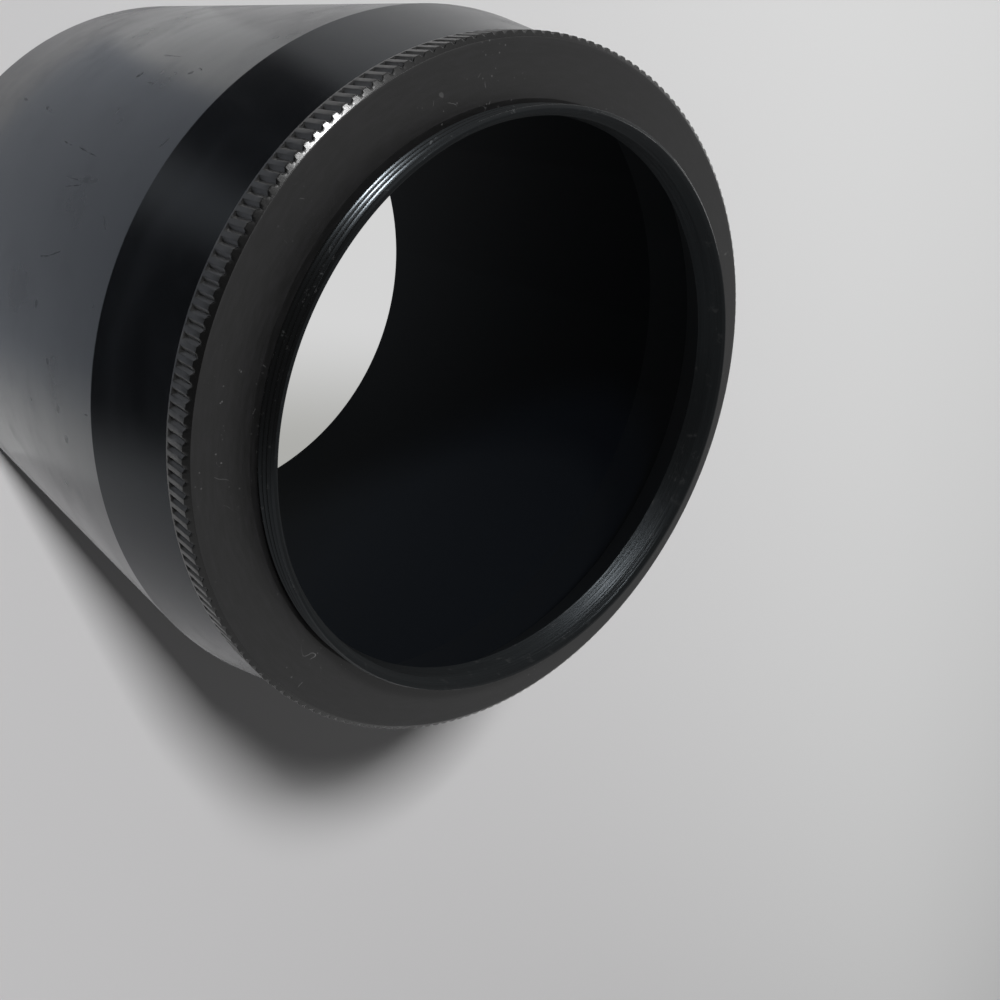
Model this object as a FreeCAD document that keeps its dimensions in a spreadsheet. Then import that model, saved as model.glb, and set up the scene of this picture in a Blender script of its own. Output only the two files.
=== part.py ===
# Screw-in metal lens hood, standing on its wide front rim with the mount thread on top.
# Millimetres. +Z is the optical axis. The origin is the centre of the front rim's plane.

import FreeCAD, Part
import math
import os

import Sketcher

# Driving dimensions: name, value, what it measures
DIMENSIONS = [
    ("overallHeight", 80.0, "front rim to the end of the thread"),
    ("barrelRadius", 39.6, "outside of the straight barrel"),
    ("barrelWall", 1.0, "wall of the straight barrel"),
    ("rimBreak", 0.2, "edge break round the outside of the front rim"),
    ("coneFoot", 62.2, "height where the barrel turns into the tapered neck"),
    ("innerConeFoot", 61.0, "height where the taper starts on the inside"),
    ("neckRadius", 37.0, "outside of the neck at its small end"),
    ("neckTop", 73.0, "height of the neck's end, where the ring's shoulder sits"),
    ("seatRadius", 36.0, "bore of the neck that holds the ring's spigot"),
    ("seatFloor", 71.0, "height of the spigot's end inside the neck"),
    ("spigotBore", 34.4, "wide end of the ring's coned back, at the spigot's end"),
    ("knurlRadius", 37.3, "crests of the knurl"),
    ("knurlTeeth", 196, "teeth round the ring, about 1.2 mm apart"),
    ("knurlDepth", 0.35, "depth of one V groove, whose sides meet at a right angle"),
    ("knurlEnd", 73.6, "height where the grooves stop, above a plain lip"),
    ("lipBreak", 0.3, "edge break under the plain lip"),
    ("ringFace", 76.8, "height of the broad front face that meets the lens"),
    ("faceBevelAcross", 0.6, "bevel round the face, measured across it"),
    ("faceBevelDeep", 0.4, "bevel round the face, measured along the axis"),
    ("threadRadius", 31.0, "major radius of the M62 x 0.75 thread"),
    ("reliefRadius", 30.5, "bottom of the V-shaped run-out groove behind the thread"),
    ("reliefTop", 77.6, "height where the run-out groove ends"),
    ("reliefReach", 0.3, "how far the groove reaches past the thread, into the face"),
    ("reliefDip", 0.2, "how deep the groove goes below the face"),
    ("threadLead", 0.25, "lead chamfer at the start of the thread"),
    ("boreRadius", 29.9, "polished land inside the thread"),
    ("boreBevel", 0.6, "bevel at the mouth of the bore"),
    ("landFoot", 76.4, "height of the land's sharp rear edge, where the coned back starts"),
]

document = FreeCAD.newDocument("LensHood")

sizes = document.addObject("Spreadsheet::Sheet", "Sizes")
for row, (name, value, meaning) in enumerate(DIMENSIONS, start=1):
    sizes.set(f"A{row}", name)
    sizes.set(f"B{row}", str(value))
    sizes.set(f"C{row}", meaning)
    sizes.setAlias(f"B{row}", name)
document.recompute()


def worth(formula):
    """Value of a sum of named sizes, such as 'barrelRadius - barrelWall'."""
    total = 0.0
    sign = 1
    for word in formula.split():
        if word in ("+", "-"):
            sign = 1 if word == "+" else -1
        else:
            total += sign * float(sizes.get(word))
    return total


def bound(formula):
    """The same sum, as an expression on the sheet's cells."""
    return " ".join(word if word in ("+", "-") else "Sizes." + word for word in formula.split())


def originPlane(body, role):
    return next(feature for feature in body.Origin.OriginFeatures if feature.Role == role)


def newBody(label):
    body = document.addObject("PartDesign::Body", label)
    body.Label = label
    return body


def sketchOn(body, name, role):
    sketch = body.newObject("Sketcher::SketchObject", name)
    sketch.AttachmentSupport = (originPlane(body, role), [""])
    sketch.MapMode = "FlatFace"
    return sketch


def drawOutline(sketch, corners):
    """Closed outline through (radius, height) corners, each held by sums of sizes.

    A height of None holds the corner on the rim's plane.
    """
    points = [FreeCAD.Vector(worth(across), worth(up) if up else 0.0, 0.0) for across, up in corners]
    count = len(points)
    for index in range(count):
        sketch.addGeometry(Part.LineSegment(points[index], points[(index + 1) % count]), False)
    for index in range(count):
        sketch.addConstraint(Sketcher.Constraint("Coincident", index, 2, (index + 1) % count, 1))
    for index, corner in enumerate(corners):
        for kind, formula in zip(("DistanceX", "DistanceY"), corner):
            if formula is None:
                sketch.addConstraint(Sketcher.Constraint("PointOnObject", index, 1, -1))
                continue
            row = sketch.addConstraint(Sketcher.Constraint(kind, -1, 1, index, 1, worth(formula)))
            sketch.renameConstraint(row, f"corner{index}{kind[-1]}")
            sketch.setExpression(f"Constraints.corner{index}{kind[-1]}", bound(formula))


def turned(body, name, corners):
    """Turn an outline of (radius, height) corners round the optical axis."""
    sketch = sketchOn(body, name + "Section", "XZ_Plane")
    drawOutline(sketch, corners)
    feature = body.newObject("PartDesign::Revolution", name)
    feature.Profile = sketch
    feature.ReferenceAxis = (sketch, ["V_Axis"])
    feature.Angle = 360.0
    document.recompute()
    return feature


# Barrel: thin straight tube that tapers to the neck
barrel = newBody("hood_barrel")
turned(barrel, "BarrelTurning", [
    ("barrelRadius - rimBreak", None),
    ("barrelRadius", "rimBreak"),
    ("barrelRadius", "coneFoot"),
    ("neckRadius", "neckTop"),
    ("seatRadius", "neckTop"),
    ("seatRadius", "seatFloor"),
    ("barrelRadius - barrelWall", "innerConeFoot"),
    ("barrelRadius - barrelWall", None),
])

# Mount ring: spigot that sits in the neck, knurled flange, broad face, thread and coned back
ring = newBody("mount_ring")
ringTurning = turned(ring, "RingTurning", [
    ("spigotBore", "seatFloor"),
    ("seatRadius", "seatFloor"),
    ("seatRadius", "neckTop"),
    ("knurlRadius - lipBreak", "neckTop"),
    ("knurlRadius", "neckTop + lipBreak"),
    ("knurlRadius", "ringFace - faceBevelDeep"),
    ("knurlRadius - faceBevelAcross", "ringFace"),
    ("threadRadius + reliefReach", "ringFace"),
    ("reliefRadius", "ringFace - reliefDip"),
    ("threadRadius", "reliefTop"),
    ("threadRadius", "overallHeight - threadLead"),
    ("threadRadius - threadLead", "overallHeight"),
    ("boreRadius + boreBevel", "overallHeight"),
    ("boreRadius", "overallHeight - boreBevel"),
    ("boreRadius", "landFoot"),
])

# Knurl: one V groove cut from the face down to the plain lip, then repeated round the ring
grooveSketch = sketchOn(ring, "GrooveSection", "XY_Plane")
grooveSketch.setExpression("AttachmentOffset.Base.z", "Sizes.ringFace")
grooveTip = worth("knurlRadius - knurlDepth")
grooveMouth = worth("knurlRadius + knurlDepth")
grooveCorners = [
    FreeCAD.Vector(grooveTip, 0.0, 0.0),
    FreeCAD.Vector(grooveMouth, grooveTip - grooveMouth, 0.0),
    FreeCAD.Vector(grooveMouth, grooveMouth - grooveTip, 0.0),
]
for index in range(3):
    grooveSketch.addGeometry(Part.LineSegment(grooveCorners[index], grooveCorners[(index + 1) % 3]), False)
for index in range(3):
    grooveSketch.addConstraint(Sketcher.Constraint("Coincident", index, 2, (index + 1) % 3, 1))
grooveSketch.addConstraint(Sketcher.Constraint("PointOnObject", 0, 1, -1))
grooveSketch.addConstraint(Sketcher.Constraint("Symmetric", 1, 1, 1, 2, -1))
grooveSketch.addConstraint(Sketcher.Constraint("Perpendicular", 0, 2))
for name, vertex, formula in (("grooveTip", 0, "knurlRadius - knurlDepth"),
                              ("grooveMouth", 1, "knurlRadius + knurlDepth")):
    held = grooveSketch.addConstraint(Sketcher.Constraint("DistanceX", -1, 1, vertex, 1, worth(formula)))
    grooveSketch.renameConstraint(held, name)
    grooveSketch.setExpression("Constraints." + name, bound(formula))

groove = ring.newObject("PartDesign::Pocket", "Groove")
groove.Profile = grooveSketch
groove.setExpression("Length", bound("ringFace - knurlEnd"))
document.recompute()

knurl = ring.newObject("PartDesign::PolarPattern", "Knurl")
knurl.Originals = [groove]
knurl.Axis = (grooveSketch, ["N_Axis"])
knurl.Angle = 360.0
knurl.setExpression("Occurrences", "Sizes.knurlTeeth")
ring.Tip = knurl
document.recompute()

# Checks: nothing failed, every groove cut, every solid sound
for feature in document.Objects:
    if "Invalid" in feature.State or "Error" in feature.State:
        raise RuntimeError(f"{feature.Label} failed: {feature.State}")

for body in (barrel, ring):
    shape = body.Shape
    if shape.isNull() or not shape.isValid() or len(shape.Solids) != 1:
        raise RuntimeError(f"{body.Label} is not one sound solid")
    print(f"{body.Label}: {shape.Volume:.0f} mm3, {len(shape.Faces)} faces")

oneGroove = ringTurning.Shape.Volume - groove.Shape.Volume
allGrooves = ringTurning.Shape.Volume - knurl.Shape.Volume
if oneGroove <= 0 or not math.isclose(allGrooves, oneGroove * worth("knurlTeeth"), rel_tol=0.01):
    raise RuntimeError("the knurl is not fully cut")

os.makedirs("parts", exist_ok=True)
for body in (barrel, ring):
    body.Shape.exportStep(f"parts/{body.Label}.step")
    print("wrote", body.Label)
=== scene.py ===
import bpy
import bmesh
import math
from mathutils import Euler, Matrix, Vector


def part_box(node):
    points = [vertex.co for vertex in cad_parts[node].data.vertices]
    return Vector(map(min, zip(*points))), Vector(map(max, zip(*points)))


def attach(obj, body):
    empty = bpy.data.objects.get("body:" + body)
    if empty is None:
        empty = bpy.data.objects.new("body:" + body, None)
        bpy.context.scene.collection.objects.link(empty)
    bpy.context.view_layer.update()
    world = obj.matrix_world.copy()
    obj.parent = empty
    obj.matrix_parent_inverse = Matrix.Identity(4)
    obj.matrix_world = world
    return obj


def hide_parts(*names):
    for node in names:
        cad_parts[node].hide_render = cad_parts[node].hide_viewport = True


# Metal lens hood, standing on its wide rim with the mount thread on top.
# The optical axis is Z. Sizes in the dictionaries are millimetres, and meshes are metres.

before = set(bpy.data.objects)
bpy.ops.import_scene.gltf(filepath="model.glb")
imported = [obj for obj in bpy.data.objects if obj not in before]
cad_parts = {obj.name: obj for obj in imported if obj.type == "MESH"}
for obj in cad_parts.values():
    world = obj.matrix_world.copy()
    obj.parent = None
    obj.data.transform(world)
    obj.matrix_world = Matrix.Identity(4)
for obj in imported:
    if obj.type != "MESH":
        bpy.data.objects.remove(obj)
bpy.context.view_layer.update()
metres = 0.001


def reachOf(node):
    # radius and top of a turned node
    low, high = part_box(node)
    return (high.y - low.y) / 2 / metres, high.z / metres


barrelRadius, barrelTop = reachOf("hood_barrel")
ringRadius, ringTop = reachOf("mount_ring")
print("frame loaded:", ", ".join(sorted(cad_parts)))


# Shader maths: a socket that adds up like a number

class Tone:
    def __init__(self, finish, socket):
        self.finish = finish
        self.socket = socket

    def __add__(self, other):
        return self.finish.maths("ADD", self, other)

    def __sub__(self, other):
        return self.finish.maths("SUBTRACT", self, other)

    def __rsub__(self, other):
        return self.finish.maths("SUBTRACT", other, self)

    def __mul__(self, other):
        return self.finish.maths("MULTIPLY", self, other)

    def __truediv__(self, other):
        return self.finish.maths("DIVIDE", self, other)

    def __rtruediv__(self, other):
        return self.finish.maths("DIVIDE", other, self)

    __radd__ = __add__
    __rmul__ = __mul__


class Finish:
    def __init__(self, name, world=None):
        self.owner = world or bpy.data.materials.new(name)
        self.owner.use_nodes = True
        self.nodes = self.owner.node_tree.nodes
        self.links = self.owner.node_tree.links

    def join(self, value, socket):
        if isinstance(value, Tone):
            self.links.new(value.socket, socket)
        else:
            socket.default_value = value

    def add(self, kind, settings=None, values=None, out=0):
        node = self.nodes.new(kind)
        for key, setting in (settings or {}).items():
            setattr(node, key, setting)
        for key, value in (values or {}).items():
            self.join(value, node.inputs[key])
        return Tone(self, node.outputs[out])

    def maths(self, operation, first, second=0.0):
        return self.add("ShaderNodeMath", {"operation": operation}, {0: first, 1: second})

    def clamped(self, value):
        return self.add("ShaderNodeMath", {"operation": "ADD", "use_clamp": True}, {0: value, 1: 0.0})

    def position(self):
        return self.add("ShaderNodeTexCoord", out="Object")

    def split(self, vector):
        parts = self.add("ShaderNodeSeparateXYZ", {}, {0: vector}).socket.node.outputs
        return [Tone(self, part) for part in parts]

    def stretched(self, vector, scale):
        return self.add("ShaderNodeVectorMath", {"operation": "MULTIPLY"}, {0: vector, 1: scale})

    def noise(self, vector, scale, detail=2.0, roughness=0.5):
        values = {"Vector": vector, "Scale": scale, "Detail": detail, "Roughness": roughness}
        return self.add("ShaderNodeTexNoise", {}, values)

    def stepped(self, value, low, high):
        # 0 below low and 1 above high, with a smooth rise
        settings = {"interpolation_type": "SMOOTHSTEP"}
        return self.add("ShaderNodeMapRange", settings, {"Value": value, "From Min": low, "From Max": high})

    def blended(self, factor, first, second):
        # inputs 6 and 7 and output 2 are the node's colour sockets
        settings = {"data_type": "RGBA"}
        return self.add("ShaderNodeMix", settings, {0: factor, 6: first, 7: second}, out=2)

    def bump(self, height, strength, distance):
        values = {"Height": height, "Strength": strength, "Distance": distance}
        return self.add("ShaderNodeBump", {}, values)

    def surface(self, values):
        shader = self.nodes["Principled BSDF"]
        for key, value in values.items():
            self.join(value, shader.inputs[key])
        return self.owner


def around(finish, position):
    # azimuth in radians, then distance from the axis and height in metres
    x, y, z = finish.split(position)
    return finish.maths("ARCTAN2", y, x), finish.maths("SQRT", x * x + y * y), z


def grey(level, tint=(1.0, 1.0, 1.0)):
    return (level * tint[0], level * tint[1], level * tint[2], 1.0)


# Finishes. Noise scales are in cells per metre, and bump depths are in metres.

satinBarrel = {
    "level": 0.0035, "tint": (0.92, 1.0, 1.16), "haze": 0.008, "gloss": 0.22, "smear": 0.10,
    "ior": 1.37, "shine": (0.70, 0.84, 1.0), "latheLines": (60.0, 60.0, 5200.0), "lineDepth": 0.000004,
    "clouds": 70.0, "wipes": (30.0, 30.0, 190.0), "specks": 1500.0, "rubBreaks": 900.0,
    "rubLevel": 0.003, "rubDark": 0.7, "rubRough": 0.30,
    # small dark rubs: azimuth in degrees, height, length and width in mm, tilt in degrees, strength
    "rubs": [
        (-26, 38.5, 2.5, 0.2, 5, 1.0), (-25.5, 44.5, 5.5, 0.2, 5, 1.0),  # one long broken stroke
        (-21, 45, 3.5, 0.2, 0, 0.8), (-20, 46, 3.5, 0.2, -10, 0.8),  # a crossing pair
        (-21.5, 49, 4.5, 0.8, -5, 0.3),  # a wide smudge
        (-31, 26.5, 3, 0.5, 10, 0.6), (-32, 17, 2, 0.4, 10, 0.4), (-29.5, 59.5, 1.5, 0.5, -60, 0.6),
        (-40.5, 41.5, 1, 0.9, -70, 0.8), (-39, 46, 1.5, 0.3, 5, 0.7), (-45.5, 43.5, 4.5, 0.2, 0, 0.6),
        (-42, 52, 1, 0.5, -15, 0.6), (-43, 53, 1.5, 0.2, 15, 0.7), (-16.5, 57, 3, 0.3, 35, 0.3),
        (-9, 45.5, 2.5, 0.2, -10, 0.8), (-10, 48, 3, 0.2, -20, 0.7),
        (-2, 46, 1, 1, 40, 0.4), (-6, 60, 1, 0.6, 60, 0.4), (5, 50.5, 1, 0.7, 15, 0.3),
        (11, 53, 1, 1.3, 70, 0.3), (15, 54.5, 1, 1.4, 80, 0.3), (8.5, 61, 1.5, 0.2, -10, 0.5),
    ],
}


def rubMarks(finish, angle, height, radius, rubs):
    # soft strokes on the barrel's unrolled surface
    total = None
    for azimuth, level, length, width, tilt, strength in rubs:
        along = (angle - math.radians(azimuth)) * radius
        up = height - level * metres
        turn = math.radians(tilt)
        first = (up * math.cos(turn) + along * math.sin(turn)) / (length * metres / 2)
        second = (along * math.cos(turn) - up * math.sin(turn)) / (width * metres / 2)
        spot = (1.0 - finish.stepped(first * first + second * second, 0.3, 1.3)) * strength
        total = spot if total is None else finish.maths("MAXIMUM", total, spot)
    return total


def makeSatinBarrel():
    look = satinBarrel
    finish = Finish("satinBlackBarrel")
    position = finish.position()
    angle, distance, height = around(finish, position)
    cloud = finish.noise(position, look["clouds"], 4.0, 0.6)
    breaks = finish.noise(position, look["rubBreaks"], 3.0, 0.6)
    rubs = rubMarks(finish, angle, height, barrelRadius * metres, look["rubs"])
    broken = rubs * finish.stepped(breaks, 0.34, 0.52)
    haze = finish.stepped(cloud, 0.45, 0.75)
    wiped = finish.noise(finish.stretched(position, look["wipes"]), 1.0, 3.0, 0.55)
    specks = finish.stepped(finish.noise(position, look["specks"], 1.0), 0.76, 0.80)
    clean, hazed = grey(look["level"], look["tint"]), grey(look["haze"], look["tint"])
    base = finish.blended(haze * 0.5 + specks * 0.5, clean, hazed)
    base = finish.blended(finish.stepped(wiped, 0.5, 0.75) * 0.5, base, hazed)
    base = finish.blended(broken * look["rubDark"], base, grey(look["rubLevel"]))
    lines = finish.noise(finish.stretched(position, look["latheLines"]), 1.0, 2.0)
    roughness = look["gloss"] + look["smear"] * (haze + wiped - 0.5) + look["rubRough"] * broken
    relief = finish.bump(lines, 0.35, look["lineDepth"])
    return finish.surface({"Base Color": base, "Roughness": roughness, "Normal": relief,
                           "IOR": look["ior"], "Specular Tint": grey(1.0, look["shine"])})


flatInside = {
    "level": 0.0018, "tint": (0.75, 1.0, 1.6), "gloss": 0.80, "ior": 1.26, "shine": (0.75, 0.88, 1.0),
    "grain": 2600.0, "grainDepth": 0.00003,
}


def makeFlatInside():
    look = flatInside
    finish = Finish("flatBlackInside")
    grain = finish.noise(finish.position(), look["grain"], 3.0, 0.7)
    base = finish.blended(finish.stepped(grain, 0.55, 0.8), grey(look["level"], look["tint"]),
                          grey(look["level"] * 2.0, look["tint"]))
    return finish.surface({"Base Color": base, "Roughness": look["gloss"],
                           "Normal": finish.bump(grain, 0.4, look["grainDepth"]), "IOR": look["ior"],
                           "Specular Tint": grey(1.0, look["shine"])})


ringFinish = {
    "level": 0.0080, "streakTint": (1.0, 0.97, 1.03), "gloss": 0.38, "ior": 1.60, "dust": 0.11,
    "streaksAround": 14.0, "streaksAcross": 2600.0, "clouds": 90.0, "grain": 3200.0, "grainDepth": 0.00002,
    "motes": 1300.0, "dustPatches": 120.0, "fibres": 420.0, "fibreBreaks": 700.0,
}


def makeRingFace():
    look = ringFinish
    finish = Finish("matteBlackRing")
    position = finish.position()
    angle, distance = around(finish, position)[:2]
    polar = finish.add("ShaderNodeCombineXYZ", {}, {0: angle * look["streaksAround"],
                                                    1: distance * look["streaksAcross"]})
    streaks = finish.noise(polar, 1.0, 3.0, 0.6)
    cloud = finish.noise(position, look["clouds"], 3.0, 0.55)
    grain = finish.noise(position, look["grain"], 3.0, 0.6)
    cells = finish.add("ShaderNodeTexVoronoi", {"feature": "F1"},
                       {"Vector": position, "Scale": look["motes"], "Randomness": 1.0})
    patches = finish.stepped(finish.noise(position, look["dustPatches"], 2.0), 0.50, 0.68)
    motes = (1.0 - finish.stepped(cells, 0.07, 0.15)) * patches
    # short curved fibres where two noises cross their middle value
    fibre = finish.noise(position, look["fibres"], 1.0)
    thin = 1.0 - finish.stepped(finish.maths("ABSOLUTE", fibre - 0.5), 0.004, 0.012)
    cut = finish.stepped(finish.noise(position, look["fibreBreaks"], 1.0), 0.62, 0.68)
    dust = finish.maths("MAXIMUM", motes * 0.7, thin * cut * patches)
    base = finish.blended(finish.stepped(streaks, 0.35, 0.75), grey(look["level"]),
                          grey(look["level"] * 1.5, look["streakTint"]))
    base = finish.blended(finish.clamped(dust), base, grey(look["dust"]))
    roughness = look["gloss"] + 0.08 * cloud + 0.06 * streaks
    return finish.surface({"Base Color": base, "Roughness": roughness, "IOR": look["ior"],
                           "Normal": finish.bump(grain, 0.25, look["grainDepth"])})


# knurl tones: the grooves are painted lighter than the crests, painted light standing in for room light
# that reaches into them, and the crests are painted darker to even it out
knurlFinish = {
    "crest": 0.005, "groove": 0.011, "worn": 0.030, "bevel": 0.003, "gloss": 0.30, "ior": 1.5,
    "crestDepths": (0.12, 0.01), "wearPatches": 260.0, "grain": 2400.0, "grainDepth": 0.00002,
}


def makeKnurl():
    look = knurlFinish
    finish = Finish("knurledEdge")
    position = finish.position()
    distance, height = around(finish, position)[1:]
    crest = finish.stepped(distance, *[(ringRadius - depth) * metres for depth in look["crestDepths"]])
    patch = finish.noise(position, look["wearPatches"], 3.0, 0.6)
    worn = crest * finish.stepped(patch, 0.52, 0.72)
    # painted light and shade: grooves and crests get lighter and darker tones of one metal
    base = finish.blended(crest, grey(look["groove"]), grey(look["crest"]))
    base = finish.blended(worn, base, grey(look["worn"]))
    # painted shade: the bevel gets a darker tone than the crests for the dark surroundings it reflects
    bevelFoot = ringShape["face"] - ringShape["bevelDeep"]
    onBevel = finish.stepped(height, (bevelFoot - 0.05) * metres, (bevelFoot + 0.02) * metres)
    base = finish.blended(onBevel, base, grey(look["bevel"]))
    grain = finish.noise(position, look["grain"], 2.0)
    return finish.surface({"Base Color": base, "Roughness": look["gloss"] + 0.10 * patch - 0.12 * onBevel,
                           "Normal": finish.bump(grain, 0.2, look["grainDepth"]), "IOR": look["ior"]})


threadFinish = {
    "level": 0.003, "worn": 0.07, "gloss": 0.21, "ior": 1.40, "shine": (0.82, 0.92, 1.0),
    "wearPatches": 900.0, "grain": (300.0, 300.0, 9000.0), "grainDepth": 0.000005,
}


def makeThread():
    look = threadFinish
    finish = Finish("cutThread")
    position = finish.position()
    wear = finish.stepped(finish.noise(position, look["wearPatches"], 4.0, 0.65), 0.60, 0.74)
    grain = finish.noise(finish.stretched(position, look["grain"]), 1.0, 2.0)
    base = finish.blended(wear * 0.4, grey(look["level"]), grey(look["worn"]))
    return finish.surface({"Base Color": base, "Roughness": look["gloss"] + 0.15 * wear,
                           "Normal": finish.bump(grain, 0.3, look["grainDepth"]), "IOR": look["ior"],
                           "Specular Tint": grey(1.0, look["shine"])})


# the land is turned with fine grooves whose wide sides face up, so it shines like a slope of that lean
boreFinish = {
    "level": 0.004, "tint": (0.92, 1.0, 1.04), "worn": 0.03, "gloss": 0.31, "ior": 1.33,
    "shine": (0.82, 0.92, 1.0), "wearPatches": 700.0, "clouds": 150.0,
    "turnedLines": (35.0, 35.0, 8500.0), "lineDepth": 0.00010, "lean": 0.80,
}


def makeBore():
    look = boreFinish
    finish = Finish("boreLand")
    position = finish.position()
    wear = finish.stepped(finish.noise(position, look["wearPatches"], 4.0, 0.65), 0.58, 0.74)
    cloud = finish.noise(position, look["clouds"], 3.0, 0.6)
    base = finish.blended(wear * 0.5, grey(look["level"], look["tint"]), grey(look["worn"]))
    height = finish.split(position)[2]
    turned = finish.noise(finish.stretched(position, look["turnedLines"]), 1.0, 1.0)
    relief = turned * look["lineDepth"] - height * look["lean"]
    return finish.surface({"Base Color": base, "Roughness": look["gloss"] + 0.1 * cloud,
                           "Normal": finish.bump(relief, 1.0, 1.0), "IOR": look["ior"],
                           "Specular Tint": grey(1.0, look["shine"])})


# Meshes: rings of points round the axis, joined row by row

class Skin:
    def __init__(self, name, finishes):
        self.name = name
        self.finishes = finishes
        self.mesh = bmesh.new()

    def point(self, radius, height, angle):
        place = (radius * math.cos(angle), radius * math.sin(angle), height)
        return self.mesh.verts.new([value * metres for value in place])

    def ring(self, angles, radius, height):
        # radius and height are numbers, or functions of the angle
        made = []
        for angle in angles:
            across = radius(angle) if callable(radius) else radius
            made.append(self.point(across, height, angle))
        return made

    def face(self, corners, finish):
        unique = []
        for corner in corners:
            if corner not in unique:
                unique.append(corner)
        if len(unique) > 2:
            self.mesh.faces.new(unique).material_index = self.finishes.index(finish)

    def bridge(self, lower, upper, finish):
        count = len(lower)
        for index in range(count):
            after = (index + 1) % count
            self.face([lower[index], lower[after], upper[after], upper[index]], finish)

    def stack(self, rings, finishes):
        for lower, upper, finish in zip(rings, rings[1:], finishes):
            self.bridge(lower, upper, finish)

    def finished(self, replaced, sharpAbove):
        bmesh.ops.recalc_face_normals(self.mesh, faces=self.mesh.faces)
        for face in self.mesh.faces:
            face.smooth = True
        for edge in self.mesh.edges:
            edge.smooth = edge.calc_face_angle(0.0) < math.radians(sharpAbove)
        data = bpy.data.meshes.new(self.name)
        self.mesh.to_mesh(data)
        self.mesh.free()
        for finish in self.finishes:
            data.materials.append(finish)
        piece = bpy.data.objects.new(self.name, data)
        bpy.context.scene.collection.objects.link(piece)
        shading = piece.modifiers.new("flatStaysFlat", "WEIGHTED_NORMAL")
        shading.keep_sharp = True
        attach(piece, "root")
        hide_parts(replaced)
        print(self.name, len(data.polygons), "faces")
        return piece


def evenAngles(count):
    return [2 * math.pi * index / count for index in range(count)]


def softened(corners, steps=4):
    # each corner is (radius, height, rounding, finish of the run that follows it)
    count = len(corners)
    outline = []
    for index, (across, up, rounding, finish) in enumerate(corners):
        corner = Vector((across, up))
        before = Vector(corners[index - 1][:2]) - corner
        after = Vector(corners[(index + 1) % count][:2]) - corner
        if rounding == 0:
            outline.append((across, up, finish))
            continue
        reach = rounding / math.tan(before.angle(after) / 2)
        start = corner + before.normalized() * reach
        end = corner + after.normalized() * reach
        for step in range(steps + 1):
            share = step / steps
            place = start * (1 - share) ** 2 + corner * 2 * share * (1 - share) + end * share ** 2
            outline.append((place.x, place.y, corners[index - 1][3] if share < 0.5 else finish))
    return outline


barrelShape = {
    "wall": 1.0, "coneFoot": 62.2, "innerConeFoot": 61.0, "neckRadius": 37.0, "seatRadius": 36.0,
    "seatFloor": 71.0, "rimRounding": 0.2, "shoulderRounding": 0.35, "edgeRounding": 0.06, "columns": 720,
}


def makeBarrel(satin, flat):
    shape = barrelShape
    outer, top = barrelRadius, barrelTop
    inner = outer - shape["wall"]
    rim, edge = shape["rimRounding"], shape["edgeRounding"]
    outline = softened([
        (outer, 0.0, rim, satin),
        (outer, shape["coneFoot"], shape["shoulderRounding"], satin),
        (shape["neckRadius"], top, edge, flat),
        (shape["seatRadius"], top, 0.0, flat),
        (shape["seatRadius"], shape["seatFloor"], 0.0, flat),
        (inner, shape["innerConeFoot"], shape["shoulderRounding"], flat),
        (inner, 0.0, rim, flat),
    ])
    skin = Skin("barrel_turning", [satin, flat])
    angles = evenAngles(shape["columns"])
    rings = [skin.ring(angles, across, up) for across, up, finish in outline]
    skin.stack(rings + rings[:1], [finish for across, up, finish in outline])
    return skin.finished("hood_barrel", 60.0)


ringShape = {
    "teeth": 196, "grooveDepth": 0.28, "grooveSlope": 0.80, "crestSoftness": 0.03, "grooveEnd": 73.6,
    "shoulder": 73.0, "lipBreak": 0.3, "lipRounding": 0.05,
    "face": 76.8, "bevelAcross": 0.6, "bevelDeep": 0.4, "bevelInset": 0.007,
    "faceSeam": 36.3, "seamWidth": 0.3, "faceMiddle": 33.8,
    "reliefEdge": 31.3, "reliefRadius": 30.5, "reliefFoot": 76.6, "reliefTop": 77.6,
    "mouthRadius": 30.5, "mouthBreak": 0.25, "boreRadius": 29.9, "boreTaper": 1.2, "landFoot": 76.4,
    "endRounding": 0.08, "mouthRounding": 0.15, "taperRounding": 0.6, "landRounding": 0.03,
    "coneWide": 34.4, "seatRadius": 36.0, "seatFloor": 71.0,
}

threadShape = {
    "major": 31.0, "pitch": 0.75, "lead": 0.25, "crestFlat": 0.16, "rootFlat": 0.17, "depth": 0.38,
    "helixTop": 79.6, "leadRows": 6,
}


def grooveOffsets(toothAngle):
    # angles from one groove's middle to the next, closer together at the crests' edges
    half = [0.0, 0.07, 0.46, 0.535, 0.61]  # degrees
    middle = math.degrees(toothAngle) / 2
    whole = half + [middle] + [2 * middle - offset for offset in reversed(half[1:])]
    return [math.radians(offset) for offset in whole]


def softMinimum(first, second, blend):
    share = max(0.0, min(1.0, 0.5 + 0.5 * (second - first) / blend))
    return second + (first - second) * share - blend * share * (1 - share)


def knurled(envelope):
    # radius of the knurled edge at an angle, where a plain edge would have the radius envelope
    tooth = 2 * math.pi / ringShape["teeth"]
    bottom, slope = ringRadius - ringShape["grooveDepth"], ringShape["grooveSlope"]

    def radius(angle):
        offset = abs((angle + tooth / 2) % tooth - tooth / 2)
        side = bottom / (math.cos(offset) - slope * math.sin(offset))
        return softMinimum(envelope, side, ringShape["crestSoftness"])

    return radius


def threadRadius(angle, height):
    # 60 degree thread, cut back by the lead chamfer and the run-out groove
    shape, ring = threadShape, ringShape
    phase = ((height - shape["pitch"] * angle / (2 * math.pi)) / shape["pitch"]) % 1.0
    fromCrest = abs(phase - 0.5) * shape["pitch"]
    slope = shape["depth"] / ((shape["pitch"] - shape["crestFlat"] - shape["rootFlat"]) / 2)
    cut = (fromCrest - shape["crestFlat"] / 2) * slope
    radius = shape["major"] - max(0.0, min(shape["depth"], cut))
    if height < ring["reliefTop"]:
        rise = (height - ring["reliefFoot"]) / (ring["reliefTop"] - ring["reliefFoot"])
        radius = min(radius, ring["reliefRadius"] + (shape["major"] - ring["reliefRadius"]) * rise)
    lead = height - (ringTop - shape["lead"])
    return min(radius, shape["major"] - max(0.0, lead))


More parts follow.
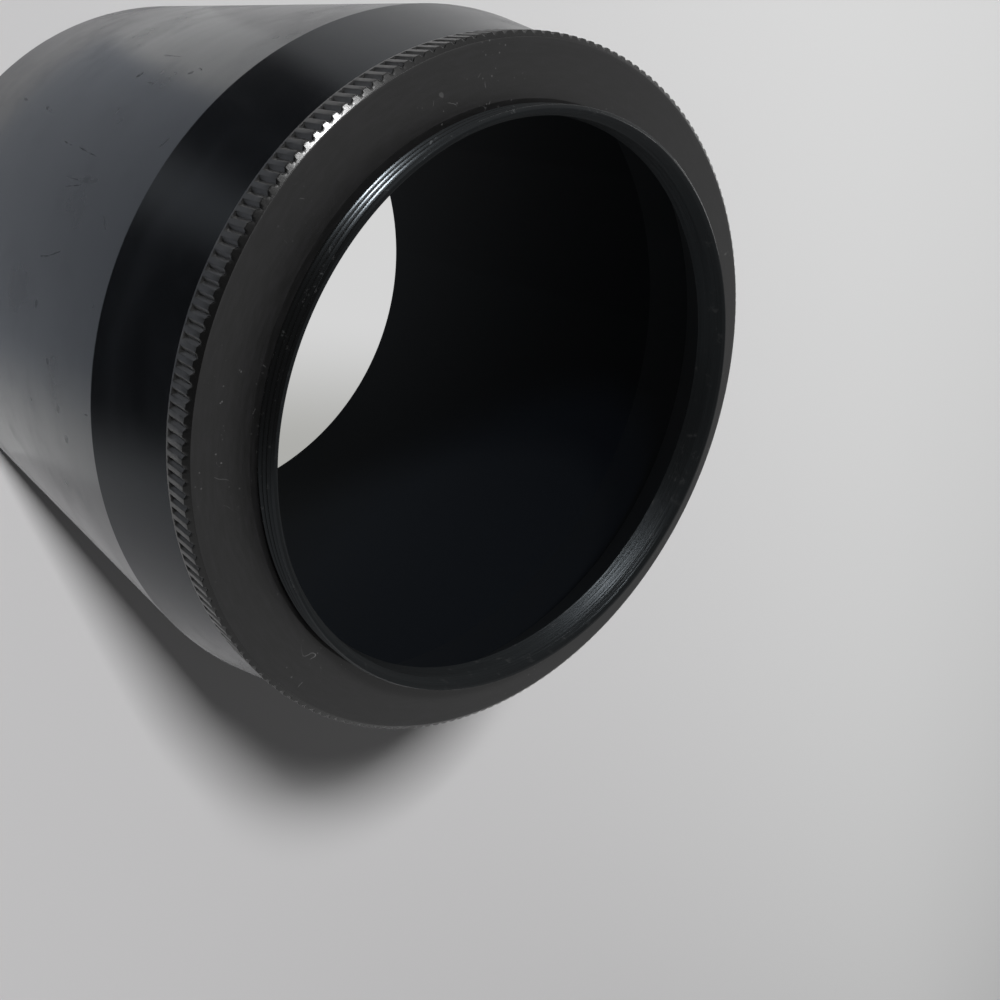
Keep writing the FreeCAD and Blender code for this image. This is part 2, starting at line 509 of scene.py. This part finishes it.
def threadPhases():
    # heights of the rows within one pitch, as shares of it: crest, flank, root, flank
    shape = threadShape
    crest = shape["crestFlat"] / 2 / shape["pitch"]
    root = shape["rootFlat"] / 2 / shape["pitch"]
    soft = 0.012  # half the width of the crest's rounded edge
    flank = [crest + soft, (crest + 0.5 - root) / 2, 0.5 - root]
    halves = [crest - soft] + flank + [0.5]
    return sorted([0.5 + share for share in halves] + [0.5 - share for share in halves[:-1]])


def cutThread(skin, angles, bottomRing, finish):
    # rows follow the helix, and join the rings below and above where they reach them
    shape = threadShape
    low, high = ringShape["reliefFoot"], shape["helixTop"]
    phases = threadPhases()
    perTurn = len(phases)
    turns = math.ceil((high - low) / shape["pitch"]) + 1
    rows = perTurn * (turns + 1)
    topRing = skin.ring(angles, lambda angle: threadRadius(angle, high), high)
    base = (math.floor(low / shape["pitch"]) - 1) * shape["pitch"]
    columns = []
    for index, angle in enumerate(angles):
        column = []
        for row in range(rows):
            share = phases[row % perTurn] + row // perTurn + angle / (2 * math.pi)
            height = base + share * shape["pitch"]
            if height <= low:
                column.append(bottomRing[index])
            elif height >= high:
                column.append(topRing[index])
            else:
                column.append(skin.point(threadRadius(angle, height), height, angle))
        columns.append(column)
    for index in range(len(angles)):
        here = columns[index]
        if index + 1 < len(angles):
            beside = columns[index + 1]
        else:
            beside = columns[0][perTurn:] + [topRing[0]] * perTurn  # one turn higher
        for row in range(rows - 1):
            skin.face([here[row], beside[row], beside[row + 1], here[row + 1]], finish)
    lead = [topRing]
    top = ringTop
    for step in range(1, shape["leadRows"] + 1):
        height = high + (top - high) * step / shape["leadRows"]
        lead.append(skin.ring(angles, lambda angle: threadRadius(angle, height), height))
    skin.stack(lead, [finish] * shape["leadRows"])
    return lead[-1]


def fanned(skin, coarse, fine, perHalf, finish):
    # joins a ring of half-tooth steps to the knurl's finer ring
    count = len(coarse)
    for index in range(count):
        run = [fine[(index * perHalf + step) % len(fine)] for step in range(perHalf + 1)]
        skin.face([coarse[index]] + run + [coarse[(index + 1) % count]], finish)


def knurledEdge(skin, angles, faceMetal, knurlMetal):
    # from the plain lip up over the grooves and the bevel to a seam on the face
    shape, crest = ringShape, ringRadius
    lipTop = shape["grooveEnd"]
    bevelFoot = shape["face"] - shape["bevelDeep"]
    faceEdge = crest - shape["bevelAcross"]
    # the rows close to each edge keep it crisp
    rings = [skin.ring(angles, crest, lipTop - 0.15), skin.ring(angles, crest, lipTop)]
    for height in (lipTop + 0.05, (lipTop + bevelFoot) / 2, bevelFoot - 0.04):
        rings.append(skin.ring(angles, knurled(crest), height))
    for share in (0.0, 0.04, 0.2, 0.4, 0.6, 0.8, 0.95):
        inset = 0.0 if share else shape["bevelInset"]  # takes the sharpness off the bevel's foot
        radius = crest - shape["bevelAcross"] * share - inset
        rings.append(skin.ring(angles, knurled(radius), bevelFoot + shape["bevelDeep"] * share))
    finishes = [knurlMetal] * (len(rings) - 1)
    for radius, height in ((faceEdge - 0.015, shape["face"] - 0.006), (faceEdge - 0.05, shape["face"]),
                           (shape["faceSeam"], shape["face"])):
        rings.append(skin.ring(angles, radius, height))
        finishes.append(faceMetal)
    skin.stack(rings, finishes)
    return rings[0], rings[-1]


def makeRing(faceMetal, knurlMetal, threadMetal, boreMetal, flat):
    shape, thread = ringShape, threadShape
    crest, top = ringRadius, ringTop
    tooth = 2 * math.pi / shape["teeth"]
    offsets = grooveOffsets(tooth)
    perHalf = len(offsets) // 2
    coarseAngles = evenAngles(2 * shape["teeth"])
    fineAngles = [index * tooth + offset for index in range(shape["teeth"]) for offset in offsets]
    skin = Skin("mount_ring_turning", [faceMetal, knurlMetal, threadMetal, boreMetal, flat])
    lipRing, seamRing = knurledEdge(skin, fineAngles, faceMetal, knurlMetal)

    # broad face and the run-out groove, inwards
    seam = skin.ring(coarseAngles, shape["faceSeam"] - shape["seamWidth"], shape["face"])
    fanned(skin, seam, seamRing, perHalf, faceMetal)
    inwards = [seam]
    for radius, height in ((shape["faceMiddle"], shape["face"]),
                           (shape["reliefEdge"] + 0.04, shape["face"]),
                           (shape["reliefEdge"], shape["face"] - 0.008),
                           (shape["reliefRadius"], shape["reliefFoot"])):
        inwards.append(skin.ring(coarseAngles, radius, height))
    skin.stack(inwards, [faceMetal] * 4)
    threadTop = cutThread(skin, coarseAngles, inwards[-1], threadMetal)

    # rim end, bore, coned back, spigot, shoulder and plain lip
    mouth, lip = shape["mouthBreak"], shape["lipRounding"]
    section = softened([
        (thread["major"] - thread["lead"], top, 0.0, boreMetal),
        (shape["mouthRadius"], top, shape["endRounding"], boreMetal),
        (shape["mouthRadius"] - mouth, top - mouth, shape["mouthRounding"], boreMetal),
        (shape["boreRadius"], top - shape["boreTaper"], shape["taperRounding"], boreMetal),
        (shape["boreRadius"], shape["landFoot"], shape["landRounding"], flat),
        (shape["coneWide"], shape["seatFloor"], 0.0, flat),
        (shape["seatRadius"], shape["seatFloor"], 0.0, flat),
        (shape["seatRadius"], shape["shoulder"], 0.0, knurlMetal),
        (crest - shape["lipBreak"], shape["shoulder"], lip, knurlMetal),
        (crest, shape["shoulder"] + shape["lipBreak"], lip, knurlMetal),
        (crest, shape["grooveEnd"] - 0.2, 0.0, knurlMetal),
    ])[1:]  # the first corner is the thread's own top ring
    rings = [threadTop] + [skin.ring(coarseAngles, across, up) for across, up, finish in section]
    skin.stack(rings, [boreMetal] + [finish for across, up, finish in section])
    fanned(skin, rings[-1], lipRing, perHalf, knurlMetal)
    return skin.finished("mount_ring", 40.0)


satin, flat = makeSatinBarrel(), makeFlatInside()
makeBarrel(satin, flat)
makeRing(makeRingFace(), makeKnurl(), makeThread(), makeBore(), flat)
print("hood built")


# Studio: pale floor, soft room, two lamps and a card that the barrel and neck reflect

studio = {
    # floorDim with dimTowards and dimEdges is a painted shade on one side of the table
    "floorSize": 2.0, "floorPale": 0.82, "floorDim": 0.63, "dimTint": (1.0, 0.99, 1.0),
    "dimTowards": (0.8, 0.6), "dimEdges": (-0.20, 0.06),
    "boreEdges": (0.0388, 0.0392), "boreGlow": 0.66, "boreShade": 0.42, "shadeTint": (1.0, 1.0, 0.96),
    "shadeEdges": (0.004, 0.030),
    "roomAmbient": 0.09, "roomLow": 0.52, "roomHigh": 0.26, "highEdges": (0.60, 0.92), "backdrop": 0.68,
    "dark": 0.05, "darkFrom": (0.78, -0.21, 0.59), "darkEdges": (0.62, 0.86),
}


def seenRays(finish):
    # 1 for rays that show a surface or a reflection, 0 for those that light one
    rays = finish.add("ShaderNodeLightPath")
    camera, gloss, through = (Tone(finish, rays.socket.node.outputs[name])
                              for name in ("Is Camera Ray", "Is Glossy Ray", "Is Transmission Ray"))
    return finish.maths("MAXIMUM", finish.maths("MAXIMUM", camera, gloss), through)


def makeFloor():
    look = studio
    half = look["floorSize"] / 2
    data = bpy.data.meshes.new("tableTop")
    data.from_pydata([(-half, -half, 0), (half, -half, 0), (half, half, 0), (-half, half, 0)], [],
                     [(0, 1, 2, 3)])
    floor = bpy.data.objects.new("tableTop", data)
    bpy.context.scene.collection.objects.link(floor)
    finish = Finish("paleTable")
    position = finish.position()
    distance = around(finish, position)[1]
    x, y = finish.split(position)[:2]
    # painted shade: the table's tone falls from floorPale to floorDim towards one side, standing in for
    # light that falls off across it
    towardsX, towardsY = look["dimTowards"]
    paintedFloorShade = finish.stepped(x * towardsX + y * towardsY, *look["dimEdges"])
    level = finish.blended(paintedFloorShade, grey(look["floorPale"]), grey(look["floorDim"], look["dimTint"]))
    matte = finish.add("ShaderNodeBsdfDiffuse", {}, {"Color": level})
    # inside the front rim the table glows with painted light, for it is seen bright through the bore, and a
    # painted shade (boreShade) darkens it beyond shadeEdges
    inside = 1.0 - finish.stepped(distance, *look["boreEdges"])
    shade = finish.blended(finish.stepped(y, *look["shadeEdges"]), grey(look["boreGlow"]),
                           grey(look["boreShade"], look["shadeTint"]))
    glow = finish.add("ShaderNodeEmission", {}, {"Color": shade, "Strength": 1.0})
    mixed = finish.add("ShaderNodeMixShader", {}, {0: seenRays(finish) * inside, 1: matte, 2: glow})
    finish.nodes.remove(finish.nodes["Principled BSDF"])
    finish.join(mixed, finish.nodes["Material Output"].inputs["Surface"])
    data.materials.append(finish.owner)


def makeWorld():
    # light from all round, a room with a dark side in reflections, and a plain backdrop for the camera
    look = studio
    world = bpy.data.worlds.new("softRoom")
    bpy.context.scene.world = world
    finish = Finish("softRoom", world)
    direction = finish.add("ShaderNodeTexCoord", out="Generated")
    towardsDark = finish.add("ShaderNodeVectorMath", {"operation": "DOT_PRODUCT"},
                             {0: direction, 1: look["darkFrom"]}, out="Value")
    up = finish.split(direction)[2]
    high = finish.stepped(up, *look["highEdges"])
    room = finish.blended(high, grey(look["roomLow"]), grey(look["roomHigh"]))
    room = finish.blended(finish.stepped(towardsDark, *look["darkEdges"]), room, grey(look["dark"]))
    colour = finish.blended(seenRays(finish), grey(look["roomAmbient"]), room)
    camera = finish.add("ShaderNodeLightPath", out="Is Camera Ray")
    colour = finish.blended(camera, colour, grey(look["backdrop"]))
    finish.join(colour, finish.nodes["Background"].inputs["Color"])


# the key lights the table and casts the shadow, and the strip only shows as a highlight
keyLamp = {"from": (0.41, -0.57, 0.60), "distance": 3.0, "size": 0.41, "power": 108.0}
stripLamp = {"from": (0.25, -0.67, 0.70), "distance": 3.0, "size": 0.34, "power": 62.0}


def makeLamp(name, look, lit, mirrored):
    lamp = bpy.data.lights.new(name, "AREA")
    lamp.shape = "SQUARE"
    lamp.size = look["size"]
    lamp.energy = look["power"]
    stand = bpy.data.objects.new(name, lamp)
    stand.visible_diffuse, stand.visible_glossy = lit, mirrored
    aim = Vector(look["from"]).normalized()
    stand.location = aim * look["distance"] + Vector((0, 0, ringTop * metres))
    stand.rotation_euler = aim.to_track_quat("Z", "Y").to_euler()
    bpy.context.scene.collection.objects.link(stand)


# distances in metres and azimuths in degrees; each edge is a pair between which the tone changes
card = {
    "near": 0.043, "far": 0.75, "from": -80.0, "to": 45.0, "steps": 24, "height": 0.004,
    "seam": (0.087, 0.090),
    "nearTone": 0.50, "nearTint": (0.95, 1.0, 1.10), "nearPale": 0.85,
    "nearEdges": ((-61.0, -53.0), (12.0, 38.0)),
    "farTone": 0.006, "farTint": (0.8, 1.0, 1.3), "farPale": 0.62,
    "farEdges": ((-76.0, -66.0), (18.0, 38.0)),
    "patchAt": -30.0, "patchReach": 13.0, "patchTone": 0.60,
}


def within(finish, angle, edges):
    (lowOut, lowIn), (highIn, highOut) = [[math.radians(edge) for edge in pair] for pair in edges]
    return finish.stepped(angle, lowOut, lowIn) * (1.0 - finish.stepped(angle, highIn, highOut))


def makeCard():
    # a flat sector on the table, seen only in reflections: grey near the barrel, dark beyond it
    look = card
    shape = bmesh.new()
    rows = []
    for step in range(look["steps"] + 1):
        angle = math.radians(look["from"] + (look["to"] - look["from"]) * step / look["steps"])
        rows.append([shape.verts.new((reach * math.cos(angle), reach * math.sin(angle), look["height"]))
                     for reach in (look["near"], look["far"])])
    for first, second in zip(rows, rows[1:]):
        shape.faces.new([first[0], first[1], second[1], second[0]])
    data = bpy.data.meshes.new("reflectedCard")
    shape.to_mesh(data)
    shape.free()
    piece = bpy.data.objects.new("reflectedCard", data)
    bpy.context.scene.collection.objects.link(piece)
    piece.visible_camera = False
    piece.visible_diffuse = False
    piece.visible_shadow = False
    finish = Finish("cardTones")
    angle, distance = around(finish, finish.position())[:2]
    away = finish.maths("ABSOLUTE", angle - math.radians(look["patchAt"]))
    patch = 1.0 - finish.stepped(away, 0.0, math.radians(look["patchReach"]))
    farTone = finish.blended(patch, grey(look["farTone"], look["farTint"]), grey(look["patchTone"]))
    farTone = finish.blended(within(finish, angle, look["farEdges"]), grey(look["farPale"]), farTone)
    nearTone = finish.blended(within(finish, angle, look["nearEdges"]), grey(look["nearPale"]),
                              grey(look["nearTone"], look["nearTint"]))
    base = finish.blended(finish.stepped(distance, *look["seam"]), nearTone, farTone)
    data.materials.append(finish.surface({"Base Color": base, "Roughness": 0.9, "Specular IOR Level": 0.0}))


# place in millimetres and turn in degrees
view = {"lens": 36.04, "place": (74.13, -19.87, 149.99), "turn": (-23.053, -39.820, -164.755),
        "shift": (0.0197, -0.0608)}


def makeCamera():
    camera = bpy.data.cameras.new("photoView")
    camera.sensor_width = 36.0
    camera.lens = view["lens"]
    camera.shift_x, camera.shift_y = view["shift"]
    camera.clip_start = 0.005
    stand = bpy.data.objects.new("photoView", camera)
    stand.location = Vector(view["place"]) * metres
    stand.rotation_euler = Euler([math.radians(turn) for turn in view["turn"]])
    bpy.context.scene.collection.objects.link(stand)
    bpy.context.scene.camera = stand


makeFloor()
makeWorld()
makeLamp("keyLamp", keyLamp, True, False)
makeLamp("stripLamp", stripLamp, False, True)
makeCard()
makeCamera()
bpy.context.scene.view_settings.view_transform = "Standard"
print("studio set")
